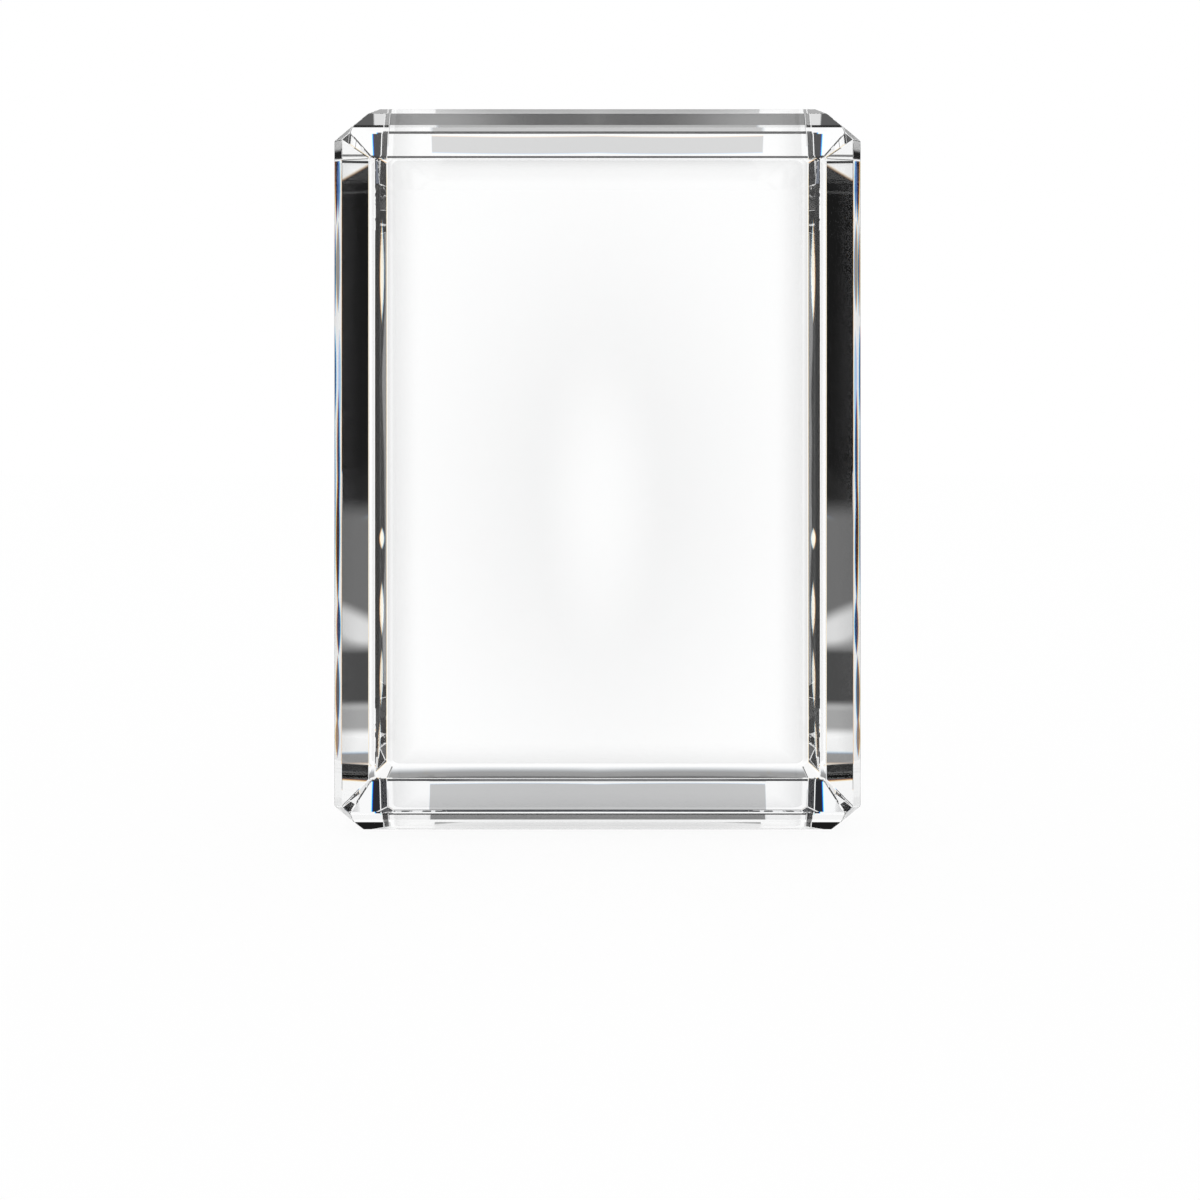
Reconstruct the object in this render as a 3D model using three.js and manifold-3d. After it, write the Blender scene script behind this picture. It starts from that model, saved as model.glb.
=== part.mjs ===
// Photo crystal: a free-standing block of clear glass, step cut round its front, with an engraved layer.
// Millimetres, +Z up, front towards -Y, origin on the standing plane under the middle of the block.
import * as THREE from "three";
import { mergeVertices } from "three/addons/utils/BufferGeometryUtils.js";
import Module from "manifold-3d";

// Block, between its side walls, its standing face and top, and its flat front and back
const WIDTH = 80;
const HEIGHT = 111.85;
const DEPTH = 30;

// Arris: the narrow eased edge of the front window
const ARRIS_SIDE = 0.95;
const ARRIS_END = 0.45;
const ARRIS_DROP = 0.3;

// Bevel: the wide facet outside the arris
const BEVEL_SIDE = 4.65;
const BEVEL_TOP = 4.25;
const BEVEL_BASE = 5.75;
const BEVEL_DROP = 4.75;

// Shoulder: the narrow, steeper facet that carries the bevel out to the side walls
const SHOULDER_SIDE = 1.4;
const SHOULDER_TOP = 1.3;
const SHOULDER_BASE = 1.55;
const SHOULDER_DROP = 2;

// Crown: the outer facet, at the top and the base only
const CROWN_TOP = 2.85;
const CROWN_TOP_DROP = 5.4;
const CROWN_BASE = 2;
const CROWN_BASE_DROP = 3.5;

// Girdle: the flattest facet, which carries the crown up to the top wall; none at the base
const GIRDLE_TOP = 1.35;
const GIRDLE_DROP = 3.9;

// Rear bevel: the single facet round the back face
const REAR_SIDE = 6.6;
const REAR_TOP = 7.15;
const REAR_BASE = 8.2;
const REAR_DROP = 6.6;

// Cut corners: how far each step's corner is cut along its top or base, and its rise per millimetre across
const WINDOW_CORNER = 0.25;
const BEVEL_CORNER = 1.2;
const SHOULDER_CORNER = 2.75;
const CROWN_CORNER = 4.5;
const TOP_CORNER = 5.8;
const BASE_CORNER = 4;
const REAR_CORNER = 0.9;
const CORNER_RISE = 0.84;

// Engraved layer, in a shallow pocket of the back face
const POCKET_MARGIN = 0.2;
const POCKET_DEPTH = 0.8;
const POCKET_RADIUS = 2;
const LAYER_THICKNESS = 0.3;
const LAYER_CLEARANCE = 0.3;
const LAYER_SEAT = 0.05;
const ARC_STEPS = 8;

const FRONT = -DEPTH / 2;
const BACK = DEPTH / 2;

// Eight corners of one step's outline, counter-clockwise seen from the front, from the right side wall on.
// The insets are measured from the block's walls, and the depths from its flat front.
function outline({
  depth,
  baseDepth = depth,
  side = 0,
  top = 0,
  base = 0,
  topCorner,
  baseCorner = topCorner,
}) {
  const reach = WIDTH / 2 - side;
  const low = base;
  const high = HEIGHT - top;
  const yTop = FRONT + depth;
  const yBase = FRONT + baseDepth;
  const topCut = topCorner * CORNER_RISE;
  const baseCut = baseCorner * CORNER_RISE;
  return [
    [reach, yTop, high - topCut],
    [reach - topCorner, yTop, high],
    [topCorner - reach, yTop, high],
    [-reach, yTop, high - topCut],
    [-reach, yBase, low + baseCut],
    [baseCorner - reach, yBase, low],
    [reach - baseCorner, yBase, low],
    [reach, yBase, low + baseCut],
  ];
}

// Closed skin over a row of outlines, from the first one's flat face to the last one's
function loft(outlines) {
  const sides = outlines[0].length;
  const faces = [];
  const last = (outlines.length - 1) * sides;
  for (let corner = 1; corner < sides - 1; corner++) {
    faces.push(0, corner, corner + 1);
    faces.push(last, last + corner + 1, last + corner);
  }
  for (let step = 0; step < outlines.length - 1; step++) {
    for (let corner = 0; corner < sides; corner++) {
      const next = (corner + 1) % sides;
      const near = step * sides;
      const far = near + sides;
      faces.push(near + corner, far + corner, far + next);
      faces.push(near + corner, far + next, near + next);
    }
  }
  const geometry = new THREE.BufferGeometry();
  geometry.setAttribute("position", new THREE.Float32BufferAttribute(outlines.flat(2), 3));
  geometry.setIndex(faces);
  return geometry;
}

// Upright plate with rounded corners, from its front face at y to its back face
function roundedPlate({ halfWidth, low, high, radius, y, thickness }) {
  const shape = new THREE.Shape();
  shape.moveTo(radius - halfWidth, low);
  shape.lineTo(halfWidth - radius, low);
  shape.absarc(halfWidth - radius, low + radius, radius, -Math.PI / 2, 0);
  shape.lineTo(halfWidth, high - radius);
  shape.absarc(halfWidth - radius, high - radius, radius, 0, Math.PI / 2);
  shape.lineTo(radius - halfWidth, high);
  shape.absarc(radius - halfWidth, high - radius, radius, Math.PI / 2, Math.PI);
  shape.lineTo(-halfWidth, low + radius);
  shape.absarc(radius - halfWidth, low + radius, radius, Math.PI, 1.5 * Math.PI);
  const geometry = new THREE.ExtrudeGeometry(shape, {
    depth: thickness,
    bevelEnabled: false,
    curveSegments: ARC_STEPS,
  });
  geometry.rotateX(Math.PI / 2);
  geometry.translate(0, y + thickness, 0);
  return geometry;
}

const wasm = await Module();
wasm.setup();

function toSolid(geometry) {
  const bare = geometry.clone();
  bare.deleteAttribute("normal");
  bare.deleteAttribute("uv");
  const merged = mergeVertices(bare);
  return new wasm.Manifold(
    new wasm.Mesh({
      numProp: 3,
      vertProperties: new Float32Array(merged.attributes.position.array),
      triVerts: new Uint32Array(merged.index.array),
    }),
  );
}

function toGeometry(solid) {
  const mesh = solid.getMesh();
  const geometry = new THREE.BufferGeometry();
  geometry.setAttribute("position", new THREE.BufferAttribute(mesh.vertProperties, mesh.numProp));
  geometry.setIndex(new THREE.BufferAttribute(mesh.triVerts, 1));
  return geometry;
}

// Steps of the cut, each one inside the next: window, arris, bevel, shoulder, crown and girdle, then the
// walls and the back. At the base the crown ends on the standing face, which runs on flat from there.
function crystalGeometry() {
  const girdle = { top: GIRDLE_TOP };
  const crown = { top: girdle.top + CROWN_TOP, base: CROWN_BASE };
  const shoulder = {
    side: SHOULDER_SIDE,
    top: crown.top + SHOULDER_TOP,
    base: crown.base + SHOULDER_BASE,
  };
  const bevel = {
    side: shoulder.side + BEVEL_SIDE,
    top: shoulder.top + BEVEL_TOP,
    base: shoulder.base + BEVEL_BASE,
  };
  const window = {
    side: bevel.side + ARRIS_SIDE,
    top: bevel.top + ARRIS_END,
    base: bevel.base + ARRIS_END,
  };
  const bevelDepth = ARRIS_DROP + BEVEL_DROP;
  const shoulderDepth = bevelDepth + SHOULDER_DROP;
  const crownDepth = shoulderDepth + CROWN_TOP_DROP;
  const crownBaseDepth = shoulderDepth + CROWN_BASE_DROP;
  const walls = { topCorner: TOP_CORNER, baseCorner: BASE_CORNER };
  return loft([
    outline({ depth: 0, ...window, topCorner: WINDOW_CORNER }),
    outline({ depth: ARRIS_DROP, ...bevel, topCorner: WINDOW_CORNER }),
    outline({ depth: bevelDepth, ...shoulder, topCorner: BEVEL_CORNER }),
    outline({ depth: shoulderDepth, ...crown, topCorner: SHOULDER_CORNER }),
    outline({ depth: crownDepth, baseDepth: crownBaseDepth, ...girdle, ...walls, topCorner: CROWN_CORNER }),
    outline({ depth: crownDepth + GIRDLE_DROP, baseDepth: crownBaseDepth + GIRDLE_DROP, ...walls }),
    outline({ depth: DEPTH - REAR_DROP, ...walls }),
    outline({ depth: DEPTH, side: REAR_SIDE, top: REAR_TOP, base: REAR_BASE, topCorner: REAR_CORNER }),
  ]);
}

const pocket = {
  halfWidth: WIDTH / 2 - REAR_SIDE - POCKET_MARGIN,
  low: REAR_BASE + POCKET_MARGIN,
  high: HEIGHT - REAR_TOP - POCKET_MARGIN,
  radius: POCKET_RADIUS,
  y: BACK - POCKET_DEPTH,
};

// The pocket's cutter runs out past the back face by the pocket's own depth
function crystalBlock() {
  const cutter = roundedPlate({ ...pocket, thickness: 2 * POCKET_DEPTH });
  const block = toSolid(crystalGeometry()).subtract(toSolid(cutter));
  const glass = new THREE.MeshStandardMaterial({
    color: 0xf4f7f8,
    roughness: 0.02,
    metalness: 0,
    transparent: true,
    opacity: 0.35,
  });
  const mesh = new THREE.Mesh(toGeometry(block), glass);
  mesh.name = "crystal_block";
  return mesh;
}

function engravedLayer() {
  const frosted = new THREE.MeshStandardMaterial({
    color: 0xf6f6f6,
    roughness: 0.7,
    metalness: 0,
    transparent: true,
    opacity: 0.6,
  });
  const plate = roundedPlate({
    halfWidth: pocket.halfWidth - LAYER_CLEARANCE,
    low: pocket.low + LAYER_CLEARANCE,
    high: pocket.high - LAYER_CLEARANCE,
    radius: pocket.radius - LAYER_CLEARANCE,
    y: pocket.y + LAYER_SEAT,
    thickness: LAYER_THICKNESS,
  });
  const mesh = new THREE.Mesh(plate, frosted);
  mesh.name = "engraved_layer";
  return mesh;
}

const photoCrystal = new THREE.Group();
photoCrystal.add(crystalBlock(), engravedLayer());

export default photoCrystal;
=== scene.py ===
# Photo crystal: a step-cut block of clear glass with a milky engraved layer, on a white studio floor.
import math
import bmesh
import bpy
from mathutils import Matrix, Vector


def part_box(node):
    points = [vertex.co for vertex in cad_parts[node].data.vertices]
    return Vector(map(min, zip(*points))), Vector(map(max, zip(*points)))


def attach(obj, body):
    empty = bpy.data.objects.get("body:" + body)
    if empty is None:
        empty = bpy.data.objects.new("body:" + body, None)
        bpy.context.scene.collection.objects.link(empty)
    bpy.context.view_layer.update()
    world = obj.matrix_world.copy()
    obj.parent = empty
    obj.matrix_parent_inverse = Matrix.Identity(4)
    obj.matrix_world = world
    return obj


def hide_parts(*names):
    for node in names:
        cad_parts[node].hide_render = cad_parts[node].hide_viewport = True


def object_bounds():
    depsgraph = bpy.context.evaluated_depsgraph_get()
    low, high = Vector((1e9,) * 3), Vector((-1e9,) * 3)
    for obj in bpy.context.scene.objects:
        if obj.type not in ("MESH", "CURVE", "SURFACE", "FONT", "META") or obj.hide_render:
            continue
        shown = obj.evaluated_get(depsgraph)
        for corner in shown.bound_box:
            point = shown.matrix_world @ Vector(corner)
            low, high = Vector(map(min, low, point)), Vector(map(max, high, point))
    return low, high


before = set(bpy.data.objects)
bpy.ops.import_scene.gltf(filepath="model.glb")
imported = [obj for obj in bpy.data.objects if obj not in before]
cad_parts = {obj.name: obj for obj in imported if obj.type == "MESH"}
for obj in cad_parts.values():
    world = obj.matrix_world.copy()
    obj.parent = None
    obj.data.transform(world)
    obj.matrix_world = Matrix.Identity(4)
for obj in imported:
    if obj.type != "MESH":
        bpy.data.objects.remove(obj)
cad_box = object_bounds()

# Camera, in metres and in pixels of the 1200 pixel picture
PICTURE = 1200
FOCUS = 1900
SENSOR_MM = 36
PIXEL_AT_FRONT = 0.0001483
AIM_X = 597.5
AIM_Y = 440
AIM_HEIGHT = 0.05993
NEAREST = 0.01

# Polish on the edges of the facets, in metres. The long edges of the top and the base are rolled wider:
# each row gives an edge's depth behind the front, the width of its roll and its steps.
POLISH_WIDTH = 0.00012
POLISH_STEPS = 2
ROUND_PROFILE = 0.5
ROLLED_EDGES = [(0.00505, 0.00042, 2), (0.00705, 0.0005, 1)]
SHARP_ANGLE = math.radians(5.5)
FLAT_ANGLE = math.radians(0.3)
WELD = 0.000002
LONG_EDGE = 0.01
POCKET_RIM = 0.0004

# Glass, with the faint waves that hand polishing leaves, in metres
INNER_BOUNCES = 8
WAVE_LENGTH = 0.016
WAVE_HEIGHT = 0.000003
GLASS_INDEX = 1.5185
GLASS_TINT = (0.995, 0.998, 0.998, 1)

# Engraved layer, in metres
# Painted shade: the layer's cover thickens along its border, a painted shadow inside the window's edge
RIM_SHADE_START = (0.0002, 0.0006)
RIM_SHADE_FADE = 0.005
END_SOFTENING = 0.0016
MARK_SIZE = 0.00016
CLUSTER_SIZE = 0.004
# Painted light: a bright oval in the middle of the layer, which clears its cover and turns its tone white
LIGHT_POOL_CENTRE = (0.0004, 0, 0.0508)
LIGHT_POOL_REACH = (0.011, 1, 0.028)
FIELD_REACH = (0.037, 1, 0.062)
RIM_SHADE_COVER = 0.085
FIELD_COVER = 0.062
LIGHT_POOL_CLEAR = 0.048
MARK_COVER = 0.012
MARK_EDGE = (0.75, 0.15)
MARK_ROUGHNESS = 0.75
MARK_SHEEN = 0.2
MARK_WHITE = (0.93, 0.93, 0.93, 1)
# Painted shade: the grey tone of the layer and its marks away from the painted pool of light
PAINTED_SHADE_TONE = (0.25, 0.25, 0.26, 1)

# Floor
FLOOR_SIZE = 6
FLOOR_GAP = 0.00005
FLOOR_TONE = (0.95, 0.95, 0.95, 1)
FLOOR_GLOW = 0.93

# Plain values
WHITE = (1, 1, 1, 1)
HALF = 0.5
HALF_TURN = 180

# Tones of the coloured cards
GOLD = (1, 0.6, 0.25)
WARM = (1, 0.86, 0.62)
FLAME = (2, 1.88, 1.65)
BROWN = (0.34, 0.25, 0.17)
SEPIA = (0.05, 0.03, 0.02)
PEWTER = (0.36, 0.33, 0.3)
SLATE = (0.2, 0.23, 0.3)
BLUE = (0.1, 0.2, 0.45)
NAVY = (0.04, 0.07, 0.14)
SKY = (0.45, 0.66, 0.95)


def card(name, azimuth, elevation, tone, soft=0.1, spread=0, slant=0, bow=0, lens=0):
    """One card: its reach in degrees, its tone, its soft edge, how far its edges split into colours, how
    much its level edges slant, how its upright edges bow, and how it narrows to its ends."""
    return {
        "name": name,
        "From": azimuth[0],
        "To": azimuth[1],
        "Low": elevation[0],
        "High": elevation[1],
        "Tone": tone if isinstance(tone, tuple) else (tone, tone, tone),
        "Softness": soft,
        "Spread": spread,
        "Slant": slant,
        "Bow": bow,
        "Lens": lens,
    }


def lamp(name, elevation):
    """A slim warm lamp, seen in the middle of the rear bevel's narrow strip."""
    return card(name, (36.85, 37.6), elevation, FLAME, soft=0.15, spread=-0.001, bow=0.049, lens=1)


def streak(name, azimuth, elevation, tone):
    """A slim upright card, seen in the narrow shoulder of the side."""
    return card(name, azimuth, elevation, tone, soft=0.01, spread=0.0002, bow=0.0088, lens=1)


# Cards round the block, as a photographer stands them round cut glass so that its facets read dark, grey
# or white. Azimuth counts both ways from straight behind the block, as the camera sees it.
ROUND_CARDS = [
    # At the sides: seen in the strip beside the window, in the side facets and in the cut corners
    card("side_flag_upper", (33.5, 96.85), (-0.2, 30), 0.012, soft=0.015, spread=0.0002),
    card("side_flag_lower", (33.5, 97.22), (-29.5, 0.2), 0.012, soft=0.015, spread=0.0002),
    card("side_flag_under", (30, 101), (-62, -33.5), 0.02, soft=0.4),
    card("side_flag_over", (38, 101), (31, 42), 0.01, soft=0.4),
    card("side_gap", (83.2, 94.2), (-29, 29), 1, soft=0.4),
    card("side_pale_edge", (39.6, 46), (-14, 14), 0.06, soft=0.8),
    lamp("side_lamp_high", (3.6, 6.5)),
    lamp("side_lamp_middle", (-3.25, -2.65)),
    lamp("side_lamp_low", (-5.8, -4.3)),
    lamp("side_lamp_lower", (-7.9, -6.3)),
    lamp("side_lamp_foot", (-9.5, -8.4)),
    card("window_edge", (6.22, 7), (-9.5, 8.5), 0.76, soft=0.12),
    card("strip_pale", (77.57, 77.9), (-9.6, 8.4), 0.45, soft=0.025, bow=0.0039),
    card("side_slat_near", (102.3, 105), (-12, 10), 0.05, soft=0.2),
    card("side_slat_far", (121, 124.5), (-12, 10), 0.05, soft=0.2),
    card("strip_end_front", (130, 144), (19.5, 24.5), 0.12, soft=0.4),
    card("strip_end_over", (52, 62), (79, 87), 0.12, soft=0.4),
    card("bevel_top_line", (20, 24), (8.22, 8.295), 0.025, soft=0.015),
    card("corner_dusk", (98.3, 99.6), (-39, -36), 0.11, soft=0.05),
    card("corner_pale", (97.6, 98.34), (-39, -36), 0.9, soft=0.04),
    card("corner_grey", (82.5, 83.2), (-38, -36.8), 0.42, soft=0.05),
    card("corner_top_line", (23.9, 25.26), (-27.54, -27.38), 0.025, soft=0.03, slant=-0.29),
    # Below: seen in the facets along the top, which bend the view down
    card("side_slate_floor", (-1, 181), (-91, -76), SLATE, soft=1),
    card("floor_card", (-1, 5.34), (-22.795, -22.464), 0.66, soft=0.012, spread=0.0003, slant=-0.0167),
    card("floor_edge", (-1, 12), (-30.2, -23.4), 0.02, soft=0.2, spread=0.001),
    card("floor_crown", (-1, 8.5), (-44, -36), 0.36, soft=0.25),
    card("floor_crown_middle", (-1, 4), (-44, -35), 0.125, soft=2),
    card("floor_shoulder", (-1, 5.77), (-35.8, -30.4), 0.5, soft=0.1, spread=0.001),
    card("floor_girdle", (-1, 6.5), (-58, -46), 0.66, soft=2.5),
    card("floor_under", (-1, 20), (-72, -59), 0.25, soft=1),
    card("floor_corner", (26.5, 33), (-33.5, -27.5), 0.06, soft=0.5),
    card("floor_front", (9.2, 13), (-49.2, -46.2), 0.02, soft=0.25),
    card("floor_line", (-1, 8), (-16.5, -10.2), 0.07, soft=0.25, spread=0.001),
    # Above: seen in the facets along the base, which bend the view up
    card("sky_line", (-1, 7.2), (8.95, 11.75), 0.015, soft=0.25, spread=0.001),
    card("sky_line_middle", (-1, 4.1), (8.8, 11.7), 0.15, soft=0.8),
    card("sky_card", (-1, 5.12), (12, 14.334), 0.56, soft=0.012, spread=0.0003, slant=0.0165),
    card("sky_strip", (-1, 9), (14.9, 15.66), 0.26, soft=0.15, spread=0.0003, slant=0.0276),
    card("sky_strip_low", (-1, 9), (14.9, 15.357), 0.1, soft=0.02, slant=0.0276),
    card("sky_edge", (-1, 12), (18.7, 23.6), 0.02, soft=0.3, spread=0.001),
    card("sky_shoulder", (-1, 5.45), (24.1, 28.5), 0.66),
    card("sky_shoulder_wedge", (-1, 5.45), (24.914, 28.5), 0.22, soft=0.012),
    card("sky_crown", (-1, 5.8), (31, 38), 0.84),
    card("sky_crown_wedge", (-1, 5.8), (33.957, 38), 0.22, soft=0.012, slant=0.0084),
    card("sky_far", (-1, 12), (41, 56), 0.12, soft=0.5),
]

# Cards that stand both behind the block and on the camera's side: seen in the wide bevels and the narrow
# shoulders of the sides
PAIRED_CARDS = [
    card("bevel_flag", (16, 25), (-3.2, 6.94), 0.02, soft=0.06, spread=0.001, slant=0.73),
    card("bevel_deep", (16, 25), (-1.8, 6.5), 0.01, soft=0.4, slant=0.73),
    card("bevel_grey", (16, 25), (-6.2, -2.05), 0.17, soft=0.4),
    card("bevel_patch", (16, 25), (-5.4, -4.45), 0.76, soft=0.25, slant=-0.6),
    card("bevel_dusk", (16, 25), (-7.95, -6.15), 0.075, soft=0.25),
    card("bevel_low", (16, 25), (-8.65, -7.93), 0.4, soft=0.15),
    card("bevel_foot", (16, 25), (-9.6, -9.27), 0.36, soft=0.05, spread=-0.001),
    card("bevel_flag_high", (16, 27), (17, 24.5), 0.008, soft=0.05, spread=0.001),
    card("bevel_gold_inner", (12.5, 16), (-10, 8), WARM, soft=0.3),
    card("bevel_gold_outer", (25.2, 29), (-10, 8), GOLD, soft=0.3),
    streak("streak_top", (29.836, 29.91), (6.4, 10.7), 0.02),
    streak("streak_top_blue", (29.89, 29.932), (6.6, 8.6), BLUE),
    streak("streak_core", (29.87, 29.94), (3.8, 6.5), PEWTER),
    streak("streak_core_edge", (29.835, 29.866), (3.7, 6.4), NAVY),
    streak("streak_upper", (29.82, 29.862), (0.6, 3.4), NAVY),
    streak("streak_upper_blue", (29.895, 29.945), (0.1, 3.3), SKY),
    streak("streak_middle", (29.878, 29.93), (-2.4, 1.5), NAVY),
    streak("streak_outer", (29.8, 29.848), (-4.9, 1.7), SLATE),
    streak("streak_lower", (29.86, 29.925), (-5, -0.9), SEPIA),
    streak("streak_patch", (29.868, 29.938), (-6.4, -4.7), NAVY),
    streak("streak_low", (29.853, 29.922), (-8.6, -6.4), 0.13),
    streak("streak_foot", (29.85, 29.915), (-9.4, -8.2), BROWN),
]


def pick(sockets, identifier):
    """The socket of this identifier, where several sockets share one name."""
    return next(socket for socket in sockets if socket.identifier == identifier)


def add_node(tree, kind, **settings):
    node = tree.nodes.new(kind)
    for name, value in settings.items():
        setattr(node, name, value)
    return node


def feed(tree, socket, value):
    """Links an output to a socket, or sets the socket to a plain value."""
    if isinstance(value, bpy.types.NodeSocket):
        tree.links.new(value, socket)
    else:
        socket.default_value = value


def sums(tree, operation, *values):
    node = add_node(tree, "ShaderNodeMath", operation=operation)
    for socket, value in zip(node.inputs, values):
        feed(tree, socket, value)
    return node.outputs[0]


def vectors(tree, operation, *values):
    node = add_node(tree, "ShaderNodeVectorMath", operation=operation)
    for socket, value in zip(node.inputs, values):
        feed(tree, socket, value)
    return node.outputs[0]


def combine(tree, x, y, z):
    node = add_node(tree, "ShaderNodeCombineXYZ")
    for socket, value in zip(node.inputs, (x, y, z)):
        feed(tree, socket, value)
    return node.outputs[0]


def smooth_step(tree, value, low, high):
    node = add_node(tree, "ShaderNodeMapRange", interpolation_type="SMOOTHSTEP")
    for name, given in (("Value", value), ("From Min", low), ("From Max", high)):
        feed(tree, node.inputs[name], given)
    return node.outputs["Result"]


def card_group():
    """A soft-edged card before what is behind it; its edges split into colours, as in cut glass."""
    group = bpy.data.node_groups.new("studio_card", "ShaderNodeTree")
    face = group.interface
    for name in ("Behind", "Tone"):
        face.new_socket(name, in_out="INPUT", socket_type="NodeSocketVector")
    for name in (
        "Across", "Up", "From", "To", "Low", "High", "Softness", "Spread", "Slant", "Bow", "Lens",
    ):
        face.new_socket(name, in_out="INPUT", socket_type="NodeSocketFloat")
    face.new_socket("Light", in_out="OUTPUT", socket_type="NodeSocketVector")
    given = add_node(group, "NodeGroupInput").outputs
    less = sums(group, "SUBTRACT", 1, given["Spread"])
    more = sums(group, "ADD", 1, given["Spread"])
    bend = combine(group, less, 1, more)
    bowed = sums(group, "MULTIPLY", sums(group, "MULTIPLY", given["Up"], given["Up"]), given["Bow"])
    across = vectors(group, "MULTIPLY", bend, sums(group, "SUBTRACT", given["Across"], bowed))
    middle = sums(group, "MULTIPLY", sums(group, "ADD", given["From"], given["To"]), HALF)
    tilt = vectors(group, "MULTIPLY", vectors(group, "SUBTRACT", across, middle), given["Slant"])
    up = vectors(group, "SUBTRACT", vectors(group, "MULTIPLY", bend, given["Up"]), tilt)
    half_width = sums(group, "MULTIPLY", sums(group, "SUBTRACT", given["To"], given["From"]), HALF)
    half_height = sums(group, "MULTIPLY", sums(group, "SUBTRACT", given["High"], given["Low"]), HALF)
    from_middle = sums(group, "SUBTRACT", given["Up"], sums(group, "ADD", given["Low"], half_height))
    share = sums(group, "DIVIDE", from_middle, half_height)
    narrowed = sums(group, "MULTIPLY", sums(group, "MULTIPLY", share, share), given["Lens"])
    taper = sums(group, "MULTIPLY", narrowed, half_width)
    from_upright = vectors(
        group,
        "MINIMUM",
        vectors(group, "SUBTRACT", across, given["From"]),
        vectors(group, "SUBTRACT", given["To"], across),
    )
    from_level = vectors(
        group,
        "MINIMUM",
        vectors(group, "SUBTRACT", up, given["Low"]),
        vectors(group, "SUBTRACT", given["High"], up),
    )
    inside = vectors(group, "MINIMUM", vectors(group, "SUBTRACT", from_upright, taper), from_level)
    soft = add_node(group, "ShaderNodeMapRange", data_type="FLOAT_VECTOR", interpolation_type="SMOOTHSTEP")
    feed(group, soft.inputs["Vector"], inside)
    for identifier, side in (("From_Min_FLOAT3", -1), ("From_Max_FLOAT3", 1)):
        edge = vectors(group, "MULTIPLY", combine(group, side, side, side), given["Softness"])
        feed(group, pick(soft.inputs, identifier), edge)
    change = vectors(group, "SUBTRACT", given["Tone"], given["Behind"])
    shown = add_node(group, "NodeGroupOutput")
    feed(
        group,
        shown.inputs["Light"],
        vectors(group, "ADD", given["Behind"], vectors(group, "MULTIPLY", soft.outputs["Vector"], change)),
    )
    return group


def make_world():
    """A white room; glass also sees the dark and grey cards that a studio stands round cut glass."""
    world = bpy.data.worlds.new("studio")
    bpy.context.scene.world = world
    world.use_nodes = True
    tree = world.node_tree
    tree.nodes.clear()
    direction = add_node(tree, "ShaderNodeTexCoord").outputs["Generated"]
    parts = add_node(tree, "ShaderNodeSeparateXYZ")
    feed(tree, parts.inputs[0], vectors(tree, "NORMALIZE", direction))
    sideways = sums(tree, "ABSOLUTE", parts.outputs["X"])
    turned = sums(tree, "DEGREES", sums(tree, "ARCTAN2", sideways, parts.outputs["Y"]))
    folded = sums(tree, "MINIMUM", turned, sums(tree, "SUBTRACT", HALF_TURN, turned))
    up = sums(tree, "DEGREES", sums(tree, "ARCSINE", parts.outputs["Z"]))
    group = card_group()
    light = combine(tree, 1, 1, 1)
    for across, cards in ((turned, ROUND_CARDS), (folded, PAIRED_CARDS)):
        for settings in cards:
            stood = add_node(tree, "ShaderNodeGroup", node_tree=group, label=settings["name"])
            for socket in stood.inputs:
                if socket.name in settings:
                    feed(tree, socket, settings[socket.name])
            for name, value in (("Behind", light), ("Across", across), ("Up", up)):
                feed(tree, stood.inputs[name], value)
            light = stood.outputs["Light"]
    studio = add_node(tree, "ShaderNodeBackground")
    feed(tree, studio.inputs["Color"], light)
    room = add_node(tree, "ShaderNodeBackground")
    room.inputs["Color"].default_value = WHITE
    ray = add_node(tree, "ShaderNodeLightPath").outputs
    mix = add_node(tree, "ShaderNodeMixShader")
    feed(tree, mix.inputs[0], sums(tree, "MAXIMUM", ray["Is Glossy Ray"], ray["Is Transmission Ray"]))
    feed(tree, mix.inputs[1], room.outputs[0])
    feed(tree, mix.inputs[2], studio.outputs[0])
    feed(tree, add_node(tree, "ShaderNodeOutputWorld").inputs["Surface"], mix.outputs[0])


def new_material(name):
    material = bpy.data.materials.new(name)
    material.use_nodes = True
    tree = material.node_tree
    tree.nodes.clear()
    output = add_node(tree, "ShaderNodeOutputMaterial")
    return material, tree, output


def glass_material():
    material, tree, output = new_material("optical_glass")
    shader = add_node(tree, "ShaderNodeBsdfPrincipled")
    shader.inputs["Base Color"].default_value = GLASS_TINT
    shader.inputs["Roughness"].default_value = 0
    shader.inputs["IOR"].default_value = GLASS_INDEX
    shader.inputs["Transmission Weight"].default_value = 1
    waves = add_node(tree, "ShaderNodeTexNoise")
    waves.inputs["Scale"].default_value = 1 / WAVE_LENGTH
    waves.inputs["Detail"].default_value = 0
    feed(tree, waves.inputs["Vector"], add_node(tree, "ShaderNodeTexCoord").outputs["Object"])
    bump = add_node(tree, "ShaderNodeBump")
    bump.inputs["Distance"].default_value = WAVE_HEIGHT
    feed(tree, bump.inputs["Height"], waves.outputs["Fac"])
    feed(tree, shader.inputs["Normal"], bump.outputs["Normal"])
    feed(tree, output.inputs["Surface"], shader.outputs[0])
    return material


def oval(tree, place, reach):
    """1 in the middle of an oval and 0 at its edge."""
    offset = vectors(tree, "SUBTRACT", place, LIGHT_POOL_CENTRE)
    away = add_node(tree, "ShaderNodeVectorMath", operation="LENGTH")
    feed(tree, away.inputs[0], vectors(tree, "DIVIDE", offset, reach))
    return smooth_step(tree, away.outputs["Value"], 1, 0)


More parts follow.
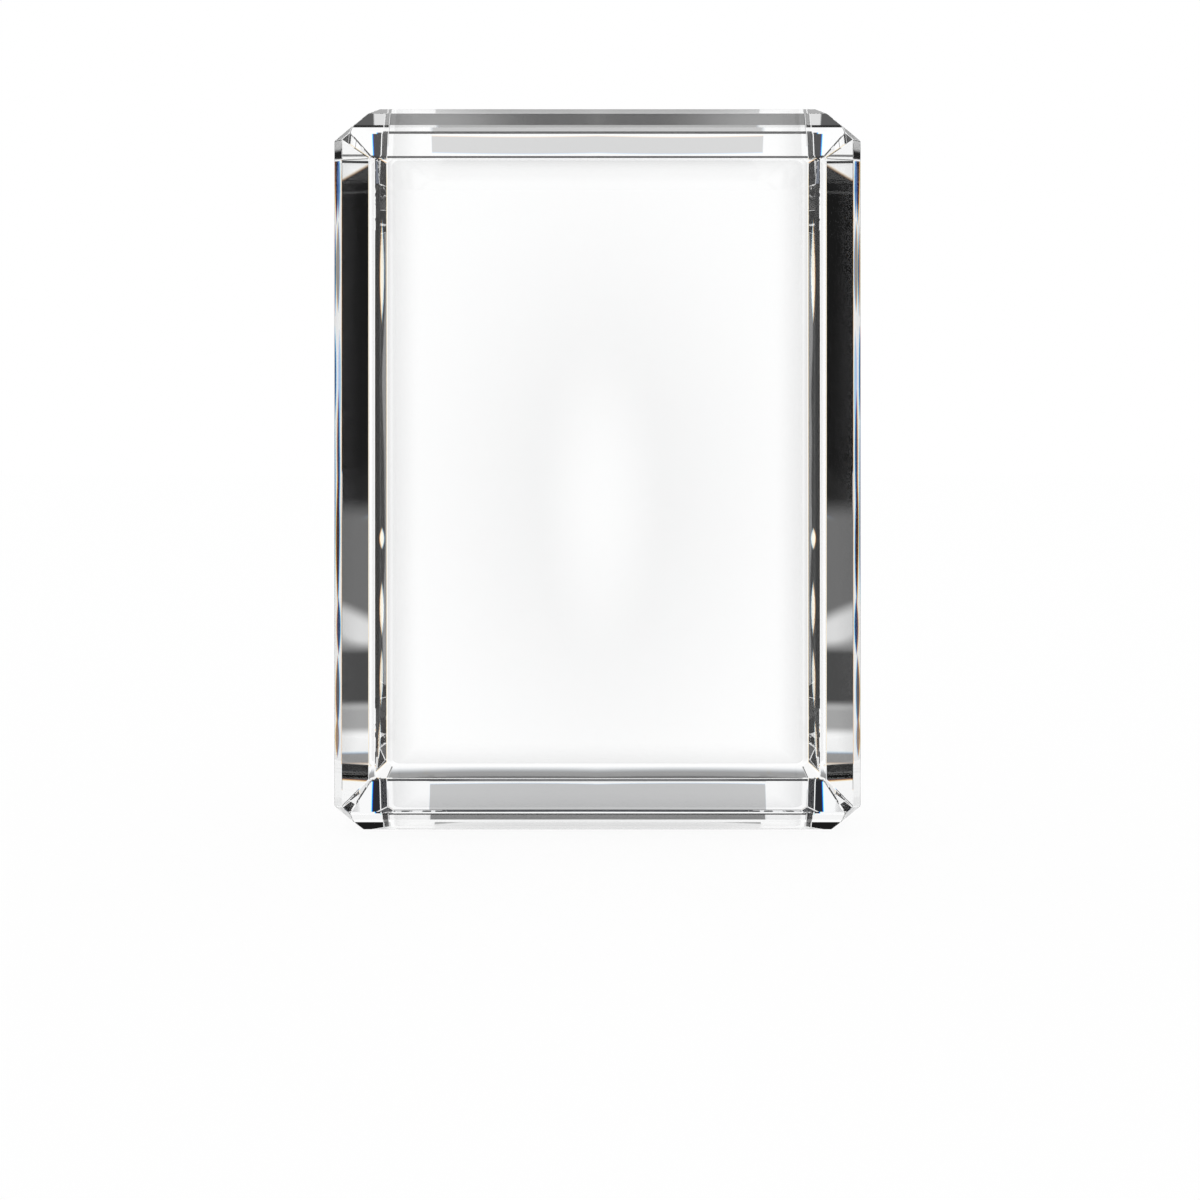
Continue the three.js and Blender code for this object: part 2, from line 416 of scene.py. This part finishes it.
def engraving_material():
    """Fine laser marks on a faint frosting, tinted with painted shade: grey cover that thickens towards the
    border as a painted shadow, and a painted pool of light that clears and whitens the middle.
    """
    material, tree, output = new_material("engraving")
    low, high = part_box("engraved_layer")
    place = add_node(tree, "ShaderNodeTexCoord").outputs["Object"]
    parts = add_node(tree, "ShaderNodeSeparateXYZ")
    feed(tree, parts.inputs[0], place)
    from_side = sums(tree, "SUBTRACT", high.x, sums(tree, "ABSOLUTE", parts.outputs["X"]))
    from_end = sums(
        tree,
        "MINIMUM",
        sums(tree, "SUBTRACT", parts.outputs["Z"], low.z),
        sums(tree, "SUBTRACT", high.z, parts.outputs["Z"]),
    )
    inset = sums(tree, "MINIMUM", from_side, sums(tree, "ADD", from_end, END_SOFTENING))
    # Painted shade: more grey cover towards the layer's border, a painted shadow along the window's edge
    rim_shade_start = smooth_step(tree, inset, *RIM_SHADE_START)
    painted_border_shade = sums(tree, "MULTIPLY", rim_shade_start, smooth_step(tree, inset, RIM_SHADE_FADE, 0))
    # Faint frosting over the window, tinted by the painted grey shade so that it reads as a grey halo round
    # the painted pool of light
    field = oval(tree, place, FIELD_REACH)
    # Painted light: a bright oval pool in the middle, which thins the cover and whitens the tone
    painted_light_pool = oval(tree, place, LIGHT_POOL_REACH)
    dots = add_node(tree, "ShaderNodeTexVoronoi", feature="F1")
    dots.inputs["Scale"].default_value = 1 / MARK_SIZE
    feed(tree, dots.inputs["Vector"], place)
    clusters = add_node(tree, "ShaderNodeTexNoise")
    clusters.inputs["Scale"].default_value = 1 / CLUSTER_SIZE
    feed(tree, clusters.inputs["Vector"], place)
    spots = smooth_step(tree, dots.outputs["Distance"], *MARK_EDGE)
    marks = sums(tree, "MULTIPLY", spots, clusters.outputs["Fac"])
    # Painted shade and light: grey tone outside the painted pool of light, white within it
    tone = add_node(tree, "ShaderNodeMix", data_type="RGBA")
    pick(tone.inputs, "A_Color").default_value = PAINTED_SHADE_TONE
    pick(tone.inputs, "B_Color").default_value = MARK_WHITE
    feed(tree, tone.inputs["Factor"], painted_light_pool)
    cover = sums(tree, "MULTIPLY", painted_border_shade, RIM_SHADE_COVER)
    cover = sums(tree, "ADD", cover, sums(tree, "MULTIPLY", field, FIELD_COVER))
    cover = sums(tree, "SUBTRACT", cover, sums(tree, "MULTIPLY", painted_light_pool, LIGHT_POOL_CLEAR))
    cover = sums(tree, "ADD", cover, sums(tree, "MULTIPLY", marks, MARK_COVER))
    shader = add_node(tree, "ShaderNodeBsdfPrincipled")
    shader.inputs["Roughness"].default_value = MARK_ROUGHNESS
    shader.inputs["Specular IOR Level"].default_value = MARK_SHEEN
    feed(tree, shader.inputs["Base Color"], pick(tone.outputs, "Result_Color"))
    feed(tree, shader.inputs["Alpha"], cover)
    feed(tree, output.inputs["Surface"], shader.outputs[0])
    return material


def is_long_edge(edge, depth):
    """Runs along the top or the base, at this depth behind the front face."""
    one, other = (vertex.co for vertex in edge.verts)
    level = abs(one.z - other.z) < WELD and abs(one.x - other.x) > LONG_EDGE
    return level and all(abs(end.y - cad_box[0].y - depth) < WELD for end in (one, other))


def polish(shape, edges, width, steps):
    bmesh.ops.bevel(
        shape,
        geom=edges,
        offset=width,
        segments=steps,
        profile=ROUND_PROFILE,
        affect="EDGES",
        clamp_overlap=True,
    )


def polished_block(node):
    """The block as one clear solid: each facet one face, its back closed over the layer, edges polished."""
    shape = bmesh.new()
    shape.from_mesh(node.data)
    bmesh.ops.remove_doubles(shape, verts=shape.verts, dist=WELD)
    low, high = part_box("engraved_layer")

    def in_pocket(vertex):
        across = low.x - POCKET_RIM < vertex.co.x < high.x + POCKET_RIM
        along = low.z - POCKET_RIM < vertex.co.z < high.z + POCKET_RIM
        return across and along and vertex.co.y > low.y - POCKET_RIM

    pocket = [vertex for vertex in shape.verts if in_pocket(vertex)]
    bmesh.ops.delete(shape, geom=pocket, context="VERTS")
    back = [edge for edge in shape.edges if edge.is_boundary]
    bmesh.ops.contextual_create(shape, geom=back)
    bmesh.ops.dissolve_limit(
        shape,
        angle_limit=FLAT_ANGLE,
        use_dissolve_boundaries=False,
        verts=shape.verts,
        edges=shape.edges,
    )
    bmesh.ops.recalc_face_normals(shape, faces=shape.faces)
    for depth, width, steps in ROLLED_EDGES:
        rolled = [edge for edge in shape.edges if is_long_edge(edge, depth)]
        polish(shape, rolled, width, steps)
    sharp = [edge for edge in shape.edges if edge.calc_face_angle(0) > SHARP_ANGLE]
    polish(shape, sharp, POLISH_WIDTH, POLISH_STEPS)
    for face in shape.faces:
        face.smooth = False
    mesh = bpy.data.meshes.new("crystal_polished")
    shape.to_mesh(mesh)
    shape.free()
    block = bpy.data.objects.new("crystal_polished", mesh)
    bpy.context.scene.collection.objects.link(block)
    return block


def make_floor():
    """White to the camera, with the block's soft shadow; glass looks past it at the room."""
    bpy.ops.mesh.primitive_plane_add(size=FLOOR_SIZE, location=(0, 0, -FLOOR_GAP))
    floor = bpy.context.object
    floor.name = "studio_floor"
    floor.visible_transmission = False
    floor.visible_glossy = False
    material, tree, output = new_material("studio_floor")
    matt = add_node(tree, "ShaderNodeBsdfDiffuse")
    matt.inputs["Color"].default_value = FLOOR_TONE
    white = add_node(tree, "ShaderNodeEmission")
    mix = add_node(tree, "ShaderNodeMixShader")
    ray = add_node(tree, "ShaderNodeLightPath").outputs
    feed(tree, mix.inputs[0], sums(tree, "MULTIPLY", ray["Is Camera Ray"], FLOOR_GLOW))
    feed(tree, mix.inputs[1], matt.outputs[0])
    feed(tree, mix.inputs[2], white.outputs[0])
    feed(tree, output.inputs["Surface"], mix.outputs[0])
    floor.data.materials.append(material)


def make_camera():
    data = bpy.data.cameras.new("camera")
    camera = bpy.data.objects.new("camera", data)
    bpy.context.scene.collection.objects.link(camera)
    data.sensor_width = SENSOR_MM
    data.lens = SENSOR_MM * FOCUS / PICTURE
    data.shift_x = (PICTURE / 2 - AIM_X) / PICTURE
    data.shift_y = (AIM_Y - PICTURE / 2) / PICTURE
    data.clip_start = NEAREST
    front = cad_box[0].y
    camera.location = (0, front - FOCUS * PIXEL_AT_FRONT, AIM_HEIGHT)
    camera.rotation_euler = (math.pi / 2, 0, 0)
    bpy.context.scene.camera = camera


bpy.context.scene.view_settings.view_transform = "Standard"
bpy.context.scene.cycles.max_bounces = INNER_BOUNCES
bpy.context.scene.cycles.glossy_bounces = INNER_BOUNCES
bpy.context.scene.cycles.transmission_bounces = INNER_BOUNCES
make_world()
make_floor()
make_camera()

block = polished_block(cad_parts["crystal_block"])
block.data.materials.append(glass_material())
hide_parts("crystal_block")
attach(block, "root")

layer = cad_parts["engraved_layer"]
layer.data.materials.clear()
layer.data.materials.append(engraving_material())
